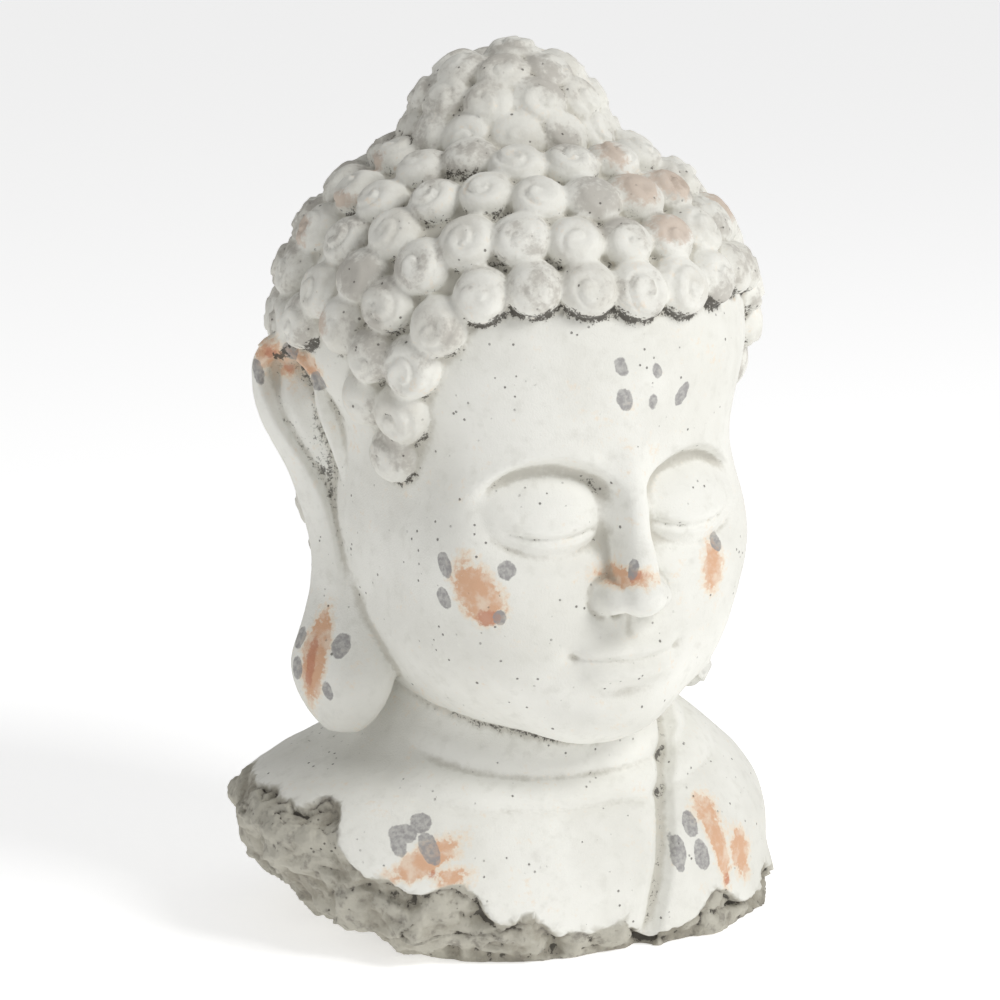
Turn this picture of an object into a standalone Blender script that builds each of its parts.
"""Cast garden bust: head with snail-shell curls, topknot and long ears, short neck, broken shoulders.

Metres, +Z up. The face looks along -Y, and the origin is on the ground under the middle of the bust.
The whole statue is one casting, so it is one object: the head, bust, ears and curls are modelled as
overlapping closed forms, fused by a voxel remesh, thinned to few faces and cut flat underneath.
"""

import math

import bmesh
import bpy
import numpy as np
from mathutils import Matrix, Vector, noise

# Bust, in metres
SHOULDER_WIDTH = 0.266
BUST_DEPTH = 0.197
SHOULDER_HEIGHT = 0.089
NECK_WIDTH = 0.146
NECK_DEPTH = 0.146
NECK_RING_DEPTH = 0.0018
NECK_RING_WIDTH = 0.0024
ROBE_GROOVE_DEPTH = 0.0045
ROBE_GROOVE_WIDTH = 0.0095
ROBE_HEM_RISE = 0.0035
BREAK_DEPTH = 0.003
BREAK_ROUGHNESS = 0.0046
BREAK_GRAIN = 0.025

# Head, in metres
CHIN_HEIGHT = 0.103
HAIRLINE_HEIGHT = 0.302
SKULL_WIDTH = 0.211
SKULL_DEPTH = 0.236
SKULL_CENTRE_HEIGHT = 0.284
SKULL_RISE = 0.093
SKULL_TUCK = 0.060
HEAD_FORWARD = 0.008
FACE_WIDTH = 0.176
TOPKNOT_WIDTH = 0.088
TOPKNOT_TOP_HEIGHT = 0.409

# Hair, in metres
CURL_WIDTH = 0.0272
CURL_PROUD = 0.0115
CURL_PITCH = 0.0233
CURL_DROOP = 0.0028
HAIR_MIDDLE_DEGREES = 9
NAPE_HEIGHT = 0.152
TOPKNOT_FOOT_HEIGHT = 0.364

# Ears, in metres
EAR_TOP_HEIGHT = 0.285
EAR_BOTTOM_HEIGHT = 0.098
EAR_WIDTH = 0.052
EAR_THICKNESS = 0.020
EAR_HOLLOW_DEPTH = 0.0085
EAR_FLARE_DEGREES = 40

# Facets
HEAD_SUBDIVISIONS = 7
BUST_COLUMNS = 320
BUST_ROWS = 130
EAR_COLUMNS = 96
EAR_ROWS = 140
CURL_SUBDIVISIONS = 3
CURL_SQUARENESS = 2.6
VOXEL_SIZE = 0.0020
TRIANGLES_KEPT = 9800

# Finish: chalky white limewash over cement
LIMEWASH_COLOUR = (0.80, 0.79, 0.75, 1.0)
LIMEWASH_ROUGHNESS = 0.9

# The face is drawn on a grid of 200 parts from chin to hairline: brow, nose and chin at thirds of it,
# and the mouth and the eyes a third of a third below the nose and the brow. The face is five eyes wide.
FACE_HEIGHT = HAIRLINE_HEIGHT - CHIN_HEIGHT
PART = FACE_HEIGHT / 200
NOSE_LEVEL = 200 / 3
BROW_LEVEL = 2 * NOSE_LEVEL
MOUTH_LEVEL = NOSE_LEVEL * 2 / 3
EYE_LEVEL = BROW_LEVEL - NOSE_LEVEL / 3
EYE_WIDTH = FACE_WIDTH / PART / 5

# The curls' rows in front: share of the way up to the topknot, turn of the middle curl, degrees by which
# the row falls later at the side than the hairline, and its end as a share of the face under the ear's top
FRONT_ROWS = ((0.0, 1.5, 0, 0.245), (0.395, 1.5, 8.5, 0.16), (0.738, -3, 17, -0.03), (1.0, -3.5, 28, -0.07))

# The topknot's rings: share of the way from its foot to its top, turn of the first curl, number of curls
TOPKNOT_RINGS = ((0.278, -22, 13), (0.60, -4.6, 10), (0.844, 20, 7), (0.995, 0, 1))


def clear_scene():
    for item in list(bpy.data.objects):
        bpy.data.objects.remove(item)


def smooth_step(value, low, high):
    """0 below low, 1 above high, with a soft start and end."""
    share = np.clip((value - low) / (high - low), 0, 1)
    return share * share * (3 - 2 * share)


def hump(value, centre, width):
    """A bell of height 1."""
    return np.exp(-(((value - centre) / width) ** 2))


def through(stations, value):
    """A smooth curve through (place, size) stations, read at value."""
    places, sizes = np.array(stations, float).T
    slopes = np.gradient(sizes, places)
    value = np.clip(value, places[0], places[-1])
    index = np.clip(np.searchsorted(places, value) - 1, 0, len(places) - 2)
    span = places[index + 1] - places[index]
    t = (value - places[index]) / span
    return (
        (2 * t**3 - 3 * t**2 + 1) * sizes[index]
        + (t**3 - 2 * t**2 + t) * span * slopes[index]
        + (-2 * t**3 + 3 * t**2) * sizes[index + 1]
        + (t**3 - t**2) * span * slopes[index + 1]
    )


def ellipsoid(points, centre, radii):
    """About the distance of each point outside an ellipsoid."""
    scaled = (points - np.array(centre)) / np.array(radii)
    once = np.linalg.norm(scaled, axis=1)
    twice = np.linalg.norm(scaled / np.array(radii), axis=1)
    return once * (once - 1) / np.maximum(twice, 1e-9)


def soft_union(first, second, fillet):
    """The nearer of two distances, with a fillet where they meet."""
    share = np.clip(0.5 + 0.5 * (second - first) / fillet, 0, 1)
    return second + (first - second) * share - fillet * share * (1 - share)


def topknot_base():
    return SKULL_CENTRE_HEIGHT + SKULL_RISE * 0.80


def head_field(points):
    """Distance outside the bald head: skull, topknot, face, cheeks, jaw, mouth and chin."""
    mirrored = points.copy()
    mirrored[:, 0] = np.abs(mirrored[:, 0])
    tucked = mirrored.copy()
    tucked[:, 2] += np.minimum(tucked[:, 2] - SKULL_CENTRE_HEIGHT, 0) * (SKULL_RISE / SKULL_TUCK - 1)
    field = ellipsoid(
        tucked,
        (0, -HEAD_FORWARD, SKULL_CENTRE_HEIGHT),
        (SKULL_WIDTH / 2, SKULL_DEPTH / 2, SKULL_RISE),
    )
    # Back of the head, over the nape
    height = SKULL_CENTRE_HEIGHT - CHIN_HEIGHT
    centre = (0, 0.093 * SKULL_DEPTH, CHIN_HEIGHT + 0.69 * height)
    occiput = ellipsoid(mirrored, centre, (0.40 * SKULL_WIDTH, 0.373 * SKULL_DEPTH, 0.54 * height))
    field = soft_union(field, occiput, 30 * PART)
    # Egg of the face, forehead, cheek, jaw, side, muzzle and chin: each one's distance from the middle as a
    # share of the face's width, depth behind the face and height over the chin in parts, then its radii
    forms = [
        ((0, 88, 100), (0.47, 80, 100), 34),
        ((0, 81, BROW_LEVEL + 18), (0.449, 76, 62), 20),
        ((0.227, 48, NOSE_LEVEL + 22), (0.222, 37, 42), 30),
        ((0.170, 72, MOUTH_LEVEL - 1), (0.228, 52, 36), 32),
        ((0.239, 118, NOSE_LEVEL + 18), (0.239, 52, 74), 30),
        ((0, 40, MOUTH_LEVEL + 4), (0.193, 31, 30), 26),
        ((0, 36, 20.5), (0.165, 24.5, 20.5), 24),
        # The nose's root, bridge, tip and wings, then the upper and the lower lip
        ((0, 7, BROW_LEVEL - 10), (0.034, 8, 17), 12),
        ((0, 1, BROW_LEVEL - 30), (0.040, 9, 19), 8),
        ((0, -3, NOSE_LEVEL + 19), (0.053, 10, 17), 7),
        ((0, -7.5, NOSE_LEVEL + 9.5), (0.062, 11, 9), 5),
        ((0.064, 1, NOSE_LEVEL + 8), (0.036, 10, 7.5), 4),
        ((0.040, 9.0, MOUTH_LEVEL + 4.6), (0.096, 9.0, 5.6), 4.5),
        ((0, 8.4, MOUTH_LEVEL - 5.8), (0.122, 9.5, 6.6), 4.5),
    ]
    front = HEAD_FORWARD + SKULL_DEPTH / 2
    for (beside, behind, above), (wide, deep, tall), fillet in forms:
        centre = (beside * FACE_WIDTH, behind * PART - front, CHIN_HEIGHT + above * PART)
        form = ellipsoid(mirrored, centre, (wide * FACE_WIDTH, deep * PART, tall * PART))
        field = soft_union(field, form, fillet * PART)
    rise = TOPKNOT_TOP_HEIGHT - topknot_base()
    topknot = ellipsoid(mirrored, (0, 0, topknot_base()), (TOPKNOT_WIDTH / 2, TOPKNOT_WIDTH / 2, rise))
    return soft_union(field, topknot, 6 * PART)


def face_relief(across, height):
    """How far the features stand in front of the bald face, in parts: |x|, and the height over the chin."""
    return eye_relief(across, height) + nose_relief(across, height) + mouth_relief(across, height)


def eye_relief(across, height):
    """The socket under the brow's arch, the lowered lids and the line between them."""
    brow_line = BROW_LEVEL + 7 - 20 * ((across - 36) / 36) ** 2
    below = brow_line - height
    inner = smooth_step(across, 3, 15)
    outer = 1 - smooth_step(across, 50, 76)
    floor = 1 - smooth_step(EYE_LEVEL - height, 5, 28)
    relief = -8.0 * smooth_step(below, -0.5, 6.2) * floor * outer * inner
    relief += 1.0 * hump(below, -1.5, 3.6) * outer * inner

    eye = (across - EYE_WIDTH * 1.03) / (EYE_WIDTH * 0.81)
    ball = eye**2 + ((height - EYE_LEVEL - 1.2) / 18) ** 2
    relief += 8.8 * np.clip(1 - ball, 0, 1) ** 0.8
    along = 1 - smooth_step(np.abs(eye), 0.58, 0.80)
    slit = EYE_LEVEL - 3.0 - 4.2 * (1 - np.clip(eye * 1.25, -1, 1) ** 2)
    above = height - slit
    relief += 1.4 * smooth_step(above, -0.6, 0.8) * (1 - smooth_step(above, 3, 9)) * along
    relief -= 1.6 * hump(above, -1.0, 1.1) * along
    relief += 0.9 * hump(above, -4.0, 1.8) * along
    relief -= 0.6 * hump(above, -7.6, 2.2) * along
    return relief


def nose_relief(across, height):
    """The nostrils, and the creases round the nose's wings."""
    nostril = ((across - 7.2) / 4.4) ** 2 + ((height - NOSE_LEVEL - 0.5) / 2.8) ** 2
    relief = -4.5 * np.clip(1 - nostril, 0, 1)
    round_wing = np.hypot((across - 12.0) / 8.6, (height - NOSE_LEVEL - 8.0) / 8.8)
    return relief - 1.3 * hump(round_wing, 1.08, 0.13) * smooth_step(across, 10, 15)


def mouth_relief(across, height):
    """The line between the closed lips, the corners, the groove above and the hollow below."""
    line = MOUTH_LEVEL + 3.0 * (np.clip(across, 0, 34) / 28) ** 2 - 1.0 * hump(across, 0, 4.6)
    above = height - line
    relief = -1.5 * hump(above, 0, 1.3) * (1 - smooth_step(across, 24, 31))
    relief -= 2.2 * hump(across, 27.5, 4.2) * hump(above, 0, 4.4)
    relief -= 1.5 * hump(across, 0, 3.0) * hump(height, (NOSE_LEVEL + MOUTH_LEVEL) / 2 + 4, 6.0)
    relief -= 3.0 * hump(height, MOUTH_LEVEL - 18, 6.0) * hump(across, 0, 21)
    return relief + 2.4 * hump(height, 16.8, 9.9) * hump(across, 0, 16.8)


def object_from(name, points, faces):
    mesh = bpy.data.meshes.new(name)
    mesh.from_pydata([tuple(map(float, p)) for p in points], [], faces)
    mesh.update()
    made = bpy.data.objects.new(name, mesh)
    bpy.context.scene.collection.objects.link(made)
    return made


def ball(subdivisions):
    """Points and faces of a unit ball."""
    form = bmesh.new()
    bmesh.ops.create_icosphere(form, subdivisions=subdivisions, radius=1)
    points = np.array([v.co for v in form.verts])
    faces = [tuple(v.index for v in f.verts) for f in form.faces]
    form.free()
    return points, faces


def slide_out(starts, directions, reach):
    """Each start's point on the bald head's surface, found along its direction by halving."""
    near = np.zeros(len(directions))
    far = np.full(len(directions), reach)
    for _ in range(22):
        half = (near + far) / 2
        outside = head_field(starts + directions * half[:, None]) > 0
        far = np.where(outside, half, far)
        near = np.where(outside, near, half)
    return starts + directions * ((near + far) / 2)[:, None]


def make_head():
    """The bald head: a ball whose points slide out along rays to the head's surface, then the features."""
    directions, faces = ball(HEAD_SUBDIVISIONS)
    middle = np.array([0, -HEAD_FORWARD, 0.37 * CHIN_HEIGHT + 0.63 * SKULL_CENTRE_HEIGHT])
    points = slide_out(middle, directions, SKULL_DEPTH)
    facing = smooth_step(-directions[:, 1], 0.15, 0.45)
    relief = face_relief(np.abs(points[:, 0]) / PART, (points[:, 2] - CHIN_HEIGHT) / PART)
    points[:, 1] -= relief * PART * facing
    return object_from("head_form", points, faces)


def bust_extents(height):
    """How far the bust reaches at a height: to its right (-X), its left (+X), the front and the back."""
    right, left, deep = SHOULDER_WIDTH * 0.527, SHOULDER_WIDTH * 0.473, BUST_DEPTH
    neck, neck_deep = NECK_WIDTH / 2, NECK_DEPTH
    stations = [
        (-0.112, 0.58 * right, 0.97 * left, 0.50 * deep, 0.39 * deep),
        (0.00, 0.62 * right, 1.00 * left, 0.510 * deep, 0.41 * deep),
        (0.13, 0.80 * right, 1.01 * left, 0.53 * deep, 0.44 * deep),
        (0.27, 0.89 * right, 1.00 * left, 0.533 * deep, 0.46 * deep),
        (0.50, 0.985 * right, 1.00 * left, 0.52 * deep, 0.467 * deep),
        (0.70, 0.99 * right, 0.96 * left, 0.475 * deep, 0.457 * deep),
        (0.84, 0.87 * right, 0.885 * left, 0.437 * deep, 0.43 * deep),
        (1.00, 0.62 * right, 0.735 * left, 0.41 * deep, 0.385 * deep),
        (1.10, 1.068 * neck, 1.068 * neck, 0.555 * neck_deep, 0.475 * neck_deep),
        (1.21, neck, 0.986 * neck, 0.530 * neck_deep, 0.445 * neck_deep),
        (1.45, 0.95 * neck, 0.95 * neck, 0.480 * neck_deep, 0.430 * neck_deep),
        (1.955, 0.85 * neck, 0.85 * neck, 0.400 * neck_deep, 0.400 * neck_deep),
    ]
    table = np.array(stations)
    share = height / SHOULDER_HEIGHT
    return [through(np.column_stack([table[:, 0], table[:, k]]), share) for k in range(1, 5)]


def break_line(turn):
    """Height of the broken rim's edge, by the angle from the front towards the statue's left."""
    behind = [(-180, 0.22), (-140, 0.40), (-120, 0.75), (-102, 0.80), (-83, 0.80), (-74, 0.80)]
    beside = [(-66, 0.86), (-60, 0.80), (-54, 0.64), (-50, 0.54), (-43, 0.50), (-36, 0.44), (-25, 0.44)]
    before = [(-21, 0.30), (-12, 0.22), (0, 0.14), (10, 0.08), (21, 0.26), (30, 0.15)]
    beyond = [(48, 0.22), (70, 0.16), (120, 0.18), (180, 0.22)]
    return SHOULDER_HEIGHT * through(behind + beside + before + beyond, np.degrees(turn))


def make_bust():
    """Neck, shoulders and chest as one lofted form, with the neck's rings, the robe's edge and the break."""
    rows = np.linspace(-0.112 * SHOULDER_HEIGHT, 1.955 * SHOULDER_HEIGHT, BUST_ROWS)
    turns = np.linspace(-math.pi, math.pi, BUST_COLUMNS, endpoint=False)
    points = []
    for height in rows:
        right, left, front, back = (float(v) for v in bust_extents(height))
        roundness = float(smooth_step(height, 0.5 * SHOULDER_HEIGHT, 1.1 * SHOULDER_HEIGHT))
        base = float(1 - smooth_step(height, 0.05 * SHOULDER_HEIGHT, 0.4 * SHOULDER_HEIGHT))
        power = 2 / (2.5 - 0.5 * roundness + 0.4 * base)
        for turn in turns:
            side, ahead = math.sin(turn), math.cos(turn)
            x = math.copysign(abs(side) ** power, side) * (left if side > 0 else right)
            y = -math.copysign(abs(ahead) ** power, ahead) * (front if ahead > 0 else back)
            points.append((x, y, height))
    turn = np.tile(turns, len(rows))
    points = carve_bust(np.array(points), turn)
    faces = []
    for row in range(len(rows) - 1):
        for column in range(BUST_COLUMNS):
            here, there = row * BUST_COLUMNS, (row + 1) * BUST_COLUMNS
            after = (column + 1) % BUST_COLUMNS
            faces.append((here + column, here + after, there + after, there + column))
    faces.append(tuple(reversed(range(BUST_COLUMNS))))
    last = (len(rows) - 1) * BUST_COLUMNS
    faces.append(tuple(last + column for column in range(BUST_COLUMNS)))
    bust = object_from("bust_form", points, faces)
    roughen(bust, turn)
    return bust


def carve_bust(points, turn):
    """Moves the loft's points in and out, level with the ground, for the neck's rings and the robe."""
    height = points[:, 2]
    outward = points[:, :2] / np.linalg.norm(points[:, :2], axis=1)[:, None]
    front = smooth_step(np.cos(turn), 0.45, 0.80)
    rise = 0.35 * SHOULDER_HEIGHT * (1 - np.cos(turn))
    move = np.zeros(len(points))
    for level in (0.775 * SHOULDER_HEIGHT, 0.925 * SHOULDER_HEIGHT):
        below = level + rise - height
        move -= NECK_RING_DEPTH * hump(below, 0, NECK_RING_WIDTH) * front
        move += NECK_RING_DEPTH * hump(below, 2.5 * NECK_RING_WIDTH, 2 * NECK_RING_WIDTH) * front
    share = height / SHOULDER_HEIGHT
    robe = through([(0, 0.071), (0.51, 0.113), (0.79, 0.143), (1.07, 0.192), (1.35, 0.233)], share)
    beside = points[:, 0] - robe * SHOULDER_WIDTH
    chest = (points[:, 1] < 0) & (height < 1.22 * SHOULDER_HEIGHT)
    groove = ROBE_GROOVE_DEPTH * np.exp(-np.abs(beside / (ROBE_GROOVE_WIDTH / 2)) ** 3)
    hem = ROBE_HEM_RISE * smooth_step(beside, 0.3 * ROBE_GROOVE_WIDTH, 0.7 * ROBE_GROOVE_WIDTH)
    fade = 1 - smooth_step(beside, 0.075 * SHOULDER_WIDTH, 0.263 * SHOULDER_WIDTH)
    move += np.where(chest, hem * fade - groove, 0)
    carved = points.copy()
    carved[:, :2] += outward * move[:, None]
    return carved


def roughen(bust, turn):
    """Breaks the rim below the break line: the face is set back and pitted along its own normals."""
    normals = [vertex.normal.copy() for vertex in bust.data.vertices]
    for vertex, normal, angle in zip(bust.data.vertices, normals, turn):
        place = vertex.co / BREAK_GRAIN
        uneven = noise.noise(place) + 0.35 * noise.noise(place * 2.5)
        height = vertex.co.z
        depth = float(break_line(angle)) - height + 0.08 * SHOULDER_HEIGHT * uneven
        if depth > 0:
            inside = smooth_step(depth, 0, BREAK_DEPTH)
            over_ground = smooth_step(height, -BREAK_DEPTH, BREAK_DEPTH)
            lost = BREAK_DEPTH - BREAK_ROUGHNESS * uneven
            vertex.co -= normal * float(inside * over_ground) * lost


def ear_outline(along):
    """The ear's middle in plan, half width and half thickness, at a share of its length from the lobe."""
    beside = [(0, 0.450), (0.12, 0.449), (0.36, 0.415), (0.6, 0.430), (0.85, 0.507), (1, 0.526)]
    behind = [(0, -0.064), (0.12, -0.062), (0.36, -0.018), (0.6, 0.010), (0.85, 0.042), (1, 0.051)]
    half = [(0, 0.34), (0.05, 0.47), (0.14, 0.58), (0.30, 0.42), (0.42, 0.33), (0.6, 0.38), (0.85, 0.47)]
    crest = [(0.95, 0.44), (1, 0.34)]
    thick = [(0, 0.40), (0.05, 0.58), (0.14, 0.70), (0.36, 0.52), (0.6, 0.48), (0.85, 0.50), (1, 0.36)]
    return (
        -SKULL_WIDTH * through(beside, along),
        SKULL_DEPTH * through(behind, along),
        EAR_WIDTH * through(half + crest, along),
        EAR_THICKNESS * through(thick, along),
    )


def make_ear(side):
    """A long ear, turned half forward: a loft from lobe to top, hollow pressed in. side is -1 or 1."""
    length = EAR_TOP_HEIGHT - EAR_BOTTOM_HEIGHT
    flare = math.radians(EAR_FLARE_DEGREES)
    outward = np.array([-math.cos(flare), -math.sin(flare), 0])
    across = np.array([-math.sin(flare), math.cos(flare), 0])
    points, faces = [], []
    turns = np.linspace(0, 2 * math.pi, EAR_COLUMNS, endpoint=False)
    for row in range(EAR_ROWS):
        lap = math.pi * (row + 0.5) / EAR_ROWS
        along = 0.5 - 0.5 * math.cos(lap)
        middle_x, middle_y, half, thick = (float(v) for v in ear_outline(along))
        cap = math.sin(lap) ** 0.40
        u = np.cos(turns) * cap
        out = np.sin(turns) * cap
        hollow = np.where(out > 0, ear_hollow(u, along), 0)
        middle = np.array([middle_x, middle_y, EAR_BOTTOM_HEIGHT + along * length])
        raised = out * thick - EAR_HOLLOW_DEPTH * hollow
        ring = middle + across * (u * half)[:, None] + outward * raised[:, None]
        ring[:, 0] *= -side
        points.extend(ring)
    for row in range(EAR_ROWS - 1):
        for column in range(EAR_COLUMNS):
            here, there = row * EAR_COLUMNS, (row + 1) * EAR_COLUMNS
            after = (column + 1) % EAR_COLUMNS
            faces.append((here + column, there + column, there + after, here + after))
    faces.append(tuple(range(EAR_COLUMNS)))
    faces.append(tuple((EAR_ROWS - 1) * EAR_COLUMNS + column for column in range(EAR_COLUMNS)))
    ear = object_from("ear_form", points, faces)
    form = bmesh.new()
    form.from_mesh(ear.data)
    bmesh.ops.recalc_face_normals(form, faces=form.faces[:])
    form.to_mesh(ear.data)
    form.free()
    return ear


def ear_hollow(across, along):
    """The ear's hollow: 0 on the rims, 1 at its deepest; across runs from -1 at the face to 1 outside."""
    middles = [(0.30, -0.22), (0.55, -0.20), (0.80, -0.04), (0.97, 0.04)]
    halves = [(0.28, 0.02), (0.42, 0.16), (0.62, 0.36), (0.82, 0.56), (0.92, 0.52), (0.97, 0.10)]
    depths = [(0.28, 0), (0.42, 0.18), (0.62, 0.75), (0.82, 1), (0.93, 1.1), (0.965, 0.2), (1, 0)]
    centre, half, deep = (float(through(stations, along)) for stations in (middles, halves, depths))
    inside = 1 - np.abs(across - centre) / max(half, 0.02)
    swell = 0.40 * hump(across - centre, 0.12, 0.22) * float(hump(along, 0.80, 0.12))
    return deep * np.clip(smooth_step(inside, 0, 0.42) - swell, 0, 1)


def skin(turn, height):
    """Points of the bald head at angles from the front, in degrees, and heights."""
    turn = np.radians(turn)
    axis = np.column_stack([np.zeros(len(turn)), np.zeros(len(turn)), height])
    return slide_out(axis, np.column_stack([np.sin(turn), -np.cos(turn), np.zeros(len(turn))]), SKULL_DEPTH)


def spaced(path, middle, shift=0.0):
    """Numbers along a path of points, a pitch apart, both ways from the middle or a share of a pitch on."""
    steps = np.linalg.norm(np.diff(path, axis=0), axis=1)
    length = np.concatenate([[0], np.cumsum(steps)]) - np.sum(steps[:middle])
    first = math.ceil(length[0] / CURL_PITCH - shift)
    last = math.floor(length[-1] / CURL_PITCH - shift + 0.001)
    return [int(np.argmin(np.abs(length - (n + shift) * CURL_PITCH))) for n in range(first, last + 1)]


def front_rows():
    """Rows of curls over the forehead, which fall at the temples and end at the ears."""
    first = HAIRLINE_HEIGHT + CURL_WIDTH / 2
    fall = [(0, 0), (39, 0), (44, 0.012), (49.4, 0.060), (56.4, 0.142), (59.6, 0.240), (66, 0.390)]
    rows = []
    for share, middle_turn, later, end in FRONT_ROWS:
        turn = np.linspace(-95, 95, 761)
        beside = np.abs(turn - HAIR_MIDDLE_DEGREES) - later
        drop = FACE_HEIGHT * through(fall, beside)
        height = first + share * (TOPKNOT_FOOT_HEIGHT - first) - drop
        kept = (height > EAR_TOP_HEIGHT - end * FACE_HEIGHT) & (beside < 67)
        path = skin(turn[kept], height[kept])
        rows.append(path[spaced(path, int(np.argmin(np.abs(turn[kept] - middle_turn))))])
    return rows


def back_rows():
    """Rings of curls from the nape up to the topknot, from one ear round to the other."""
    top = 0.3 * (HAIRLINE_HEIGHT + CURL_WIDTH / 2) + 0.7 * TOPKNOT_FOOT_HEIGHT
    height = np.linspace(NAPE_HEIGHT + CURL_WIDTH / 2, top, 200)
    profile = skin(np.full(len(height), 180.0), height)
    rows = []
    levels = np.append(height[spaced(profile, len(height) - 1)], TOPKNOT_FOOT_HEIGHT)
    for row, level in enumerate(levels):
        over_ear = 0.5 + (level - EAR_TOP_HEIGHT) / CURL_WIDTH
        reach = 60 + 40 * float(smooth_step(over_ear, 0, 1))
        turn = np.linspace(180 - reach, 180 + reach, 401)
        path = skin(turn, np.full(len(turn), level))
        rows.append(path[spaced(path, 200, 0.5 * (row % 2))])
    return rows


def curl_places():
    """Where curls sit on the bald head: each has its own room."""
    places = []
    for row in front_rows() + back_rows():
        for point in row:
            if all(np.linalg.norm(point - other) > 0.86 * CURL_PITCH for other in places):
                places.append(point)
    # Open spots over the ears
    for side in (-1, 1):
        for level in np.linspace(TOPKNOT_FOOT_HEIGHT, EAR_TOP_HEIGHT + 0.3 * CURL_WIDTH, 40):
            for point in skin(side * np.linspace(55, 125, 71), np.full(71, level)):
                if all(np.linalg.norm(point - other) > 0.88 * CURL_PITCH for other in places):
                    places.append(point)
    for share, first, count in TOPKNOT_RINGS:
        height = TOPKNOT_FOOT_HEIGHT + share * (TOPKNOT_TOP_HEIGHT - TOPKNOT_FOOT_HEIGHT)
        places.extend(skin(first + np.arange(count) * 360 / count, np.full(count, height)))
    return np.array(places)


def make_curls():
    """Flattened, drooping buttons, pressed into the head, one for each curl, all in one mesh."""
    unit, unit_faces = ball(CURL_SUBDIVISIONS)
    flat = np.linalg.norm(unit[:, :2], axis=1)
    size = (flat**CURL_SQUARENESS + np.abs(unit[:, 2]) ** CURL_SQUARENESS) ** (1 / CURL_SQUARENESS)
    button = unit / size[:, None]
    places = curl_places()
    step = PART / 2
    slopes = [head_field(places + step * way) - head_field(places - step * way) for way in np.eye(3)]
    normals = np.column_stack(slopes)
    normals /= np.linalg.norm(normals, axis=1)[:, None]
    points, faces = [], []
    for number, (place, normal) in enumerate(zip(places, normals)):
        sag = Vector(normal) + Vector((0, 0, -0.10))
        turned = np.array(sag.to_track_quat("Z", "Y").to_matrix())
        half = CURL_WIDTH / 2 * (1 + 0.05 * math.sin(7.3 * number))
        corners = button * (half, half, CURL_PROUD)
        corners[:, 1] -= CURL_DROOP * np.maximum(button[:, 2], 0)
        start = len(points)
        points.extend(corners @ turned.T + place)
        faces.extend(tuple(start + index for index in face) for face in unit_faces)
    return object_from("curl_forms", points, faces)


def fuse(forms, name):
    """One object from overlapping closed forms, as a voxel remesh sees them, thinned to few faces."""
    bpy.ops.object.select_all(action="DESELECT")
    for form in forms:
        form.select_set(True)
    bpy.context.view_layer.objects.active = forms[0]
    bpy.ops.object.join()
    whole = bpy.context.view_layer.objects.active
    whole.name = name
    remesh = whole.modifiers.new("fuse", "REMESH")
    remesh.mode = "VOXEL"
    remesh.voxel_size = VOXEL_SIZE
    bpy.ops.object.modifier_apply(modifier=remesh.name)
    soften = whole.modifiers.new("soften", "SMOOTH")
    soften.factor = 0.5
    soften.iterations = 1
    bpy.ops.object.modifier_apply(modifier=soften.name)
    thin = whole.modifiers.new("thin", "DECIMATE")
    thin.ratio = TRIANGLES_KEPT / (2 * len(whole.data.polygons))
    bpy.ops.object.modifier_apply(modifier=thin.name)
    return whole


def cut_flat(whole):
    """Cuts the casting flat on the ground and brings the middle of its box over the origin."""
    form = bmesh.new()
    form.from_mesh(whole.data)
    bmesh.ops.bisect_plane(
        form,
        geom=form.verts[:] + form.edges[:] + form.faces[:],
        plane_co=(0, 0, 0),
        plane_no=(0, 0, 1),
        clear_inner=True,
    )
    rim = [edge for edge in form.edges if edge.is_boundary]
    bmesh.ops.contextual_create(form, geom=rim)
    bmesh.ops.triangulate(form, faces=form.faces[:])
    bmesh.ops.recalc_face_normals(form, faces=form.faces[:])
    xs = [v.co.x for v in form.verts]
    ys = [v.co.y for v in form.verts]
    middle = Vector(((min(xs) + max(xs)) / 2, (min(ys) + max(ys)) / 2, 0))
    form.transform(Matrix.Translation(-middle))
    form.to_mesh(whole.data)
    form.free()


def limewash():
    material = bpy.data.materials.new("weathered_limewash")
    material.use_nodes = True
    shader = material.node_tree.nodes["Principled BSDF"]
    shader.inputs["Base Color"].default_value = LIMEWASH_COLOUR
    shader.inputs["Roughness"].default_value = LIMEWASH_ROUGHNESS
    shader.inputs["Metallic"].default_value = 0.0
    return material


def main():
    clear_scene()
    forms = [make_head(), make_bust(), make_ear(-1), make_ear(1), make_curls()]
    statue = fuse(forms, "buddha_head_bust")
    cut_flat(statue)
    statue.data.shade_smooth()
    statue.data.set_sharp_from_angle(angle=math.radians(50))
    statue.data.materials.clear()
    statue.data.materials.append(limewash())


main()
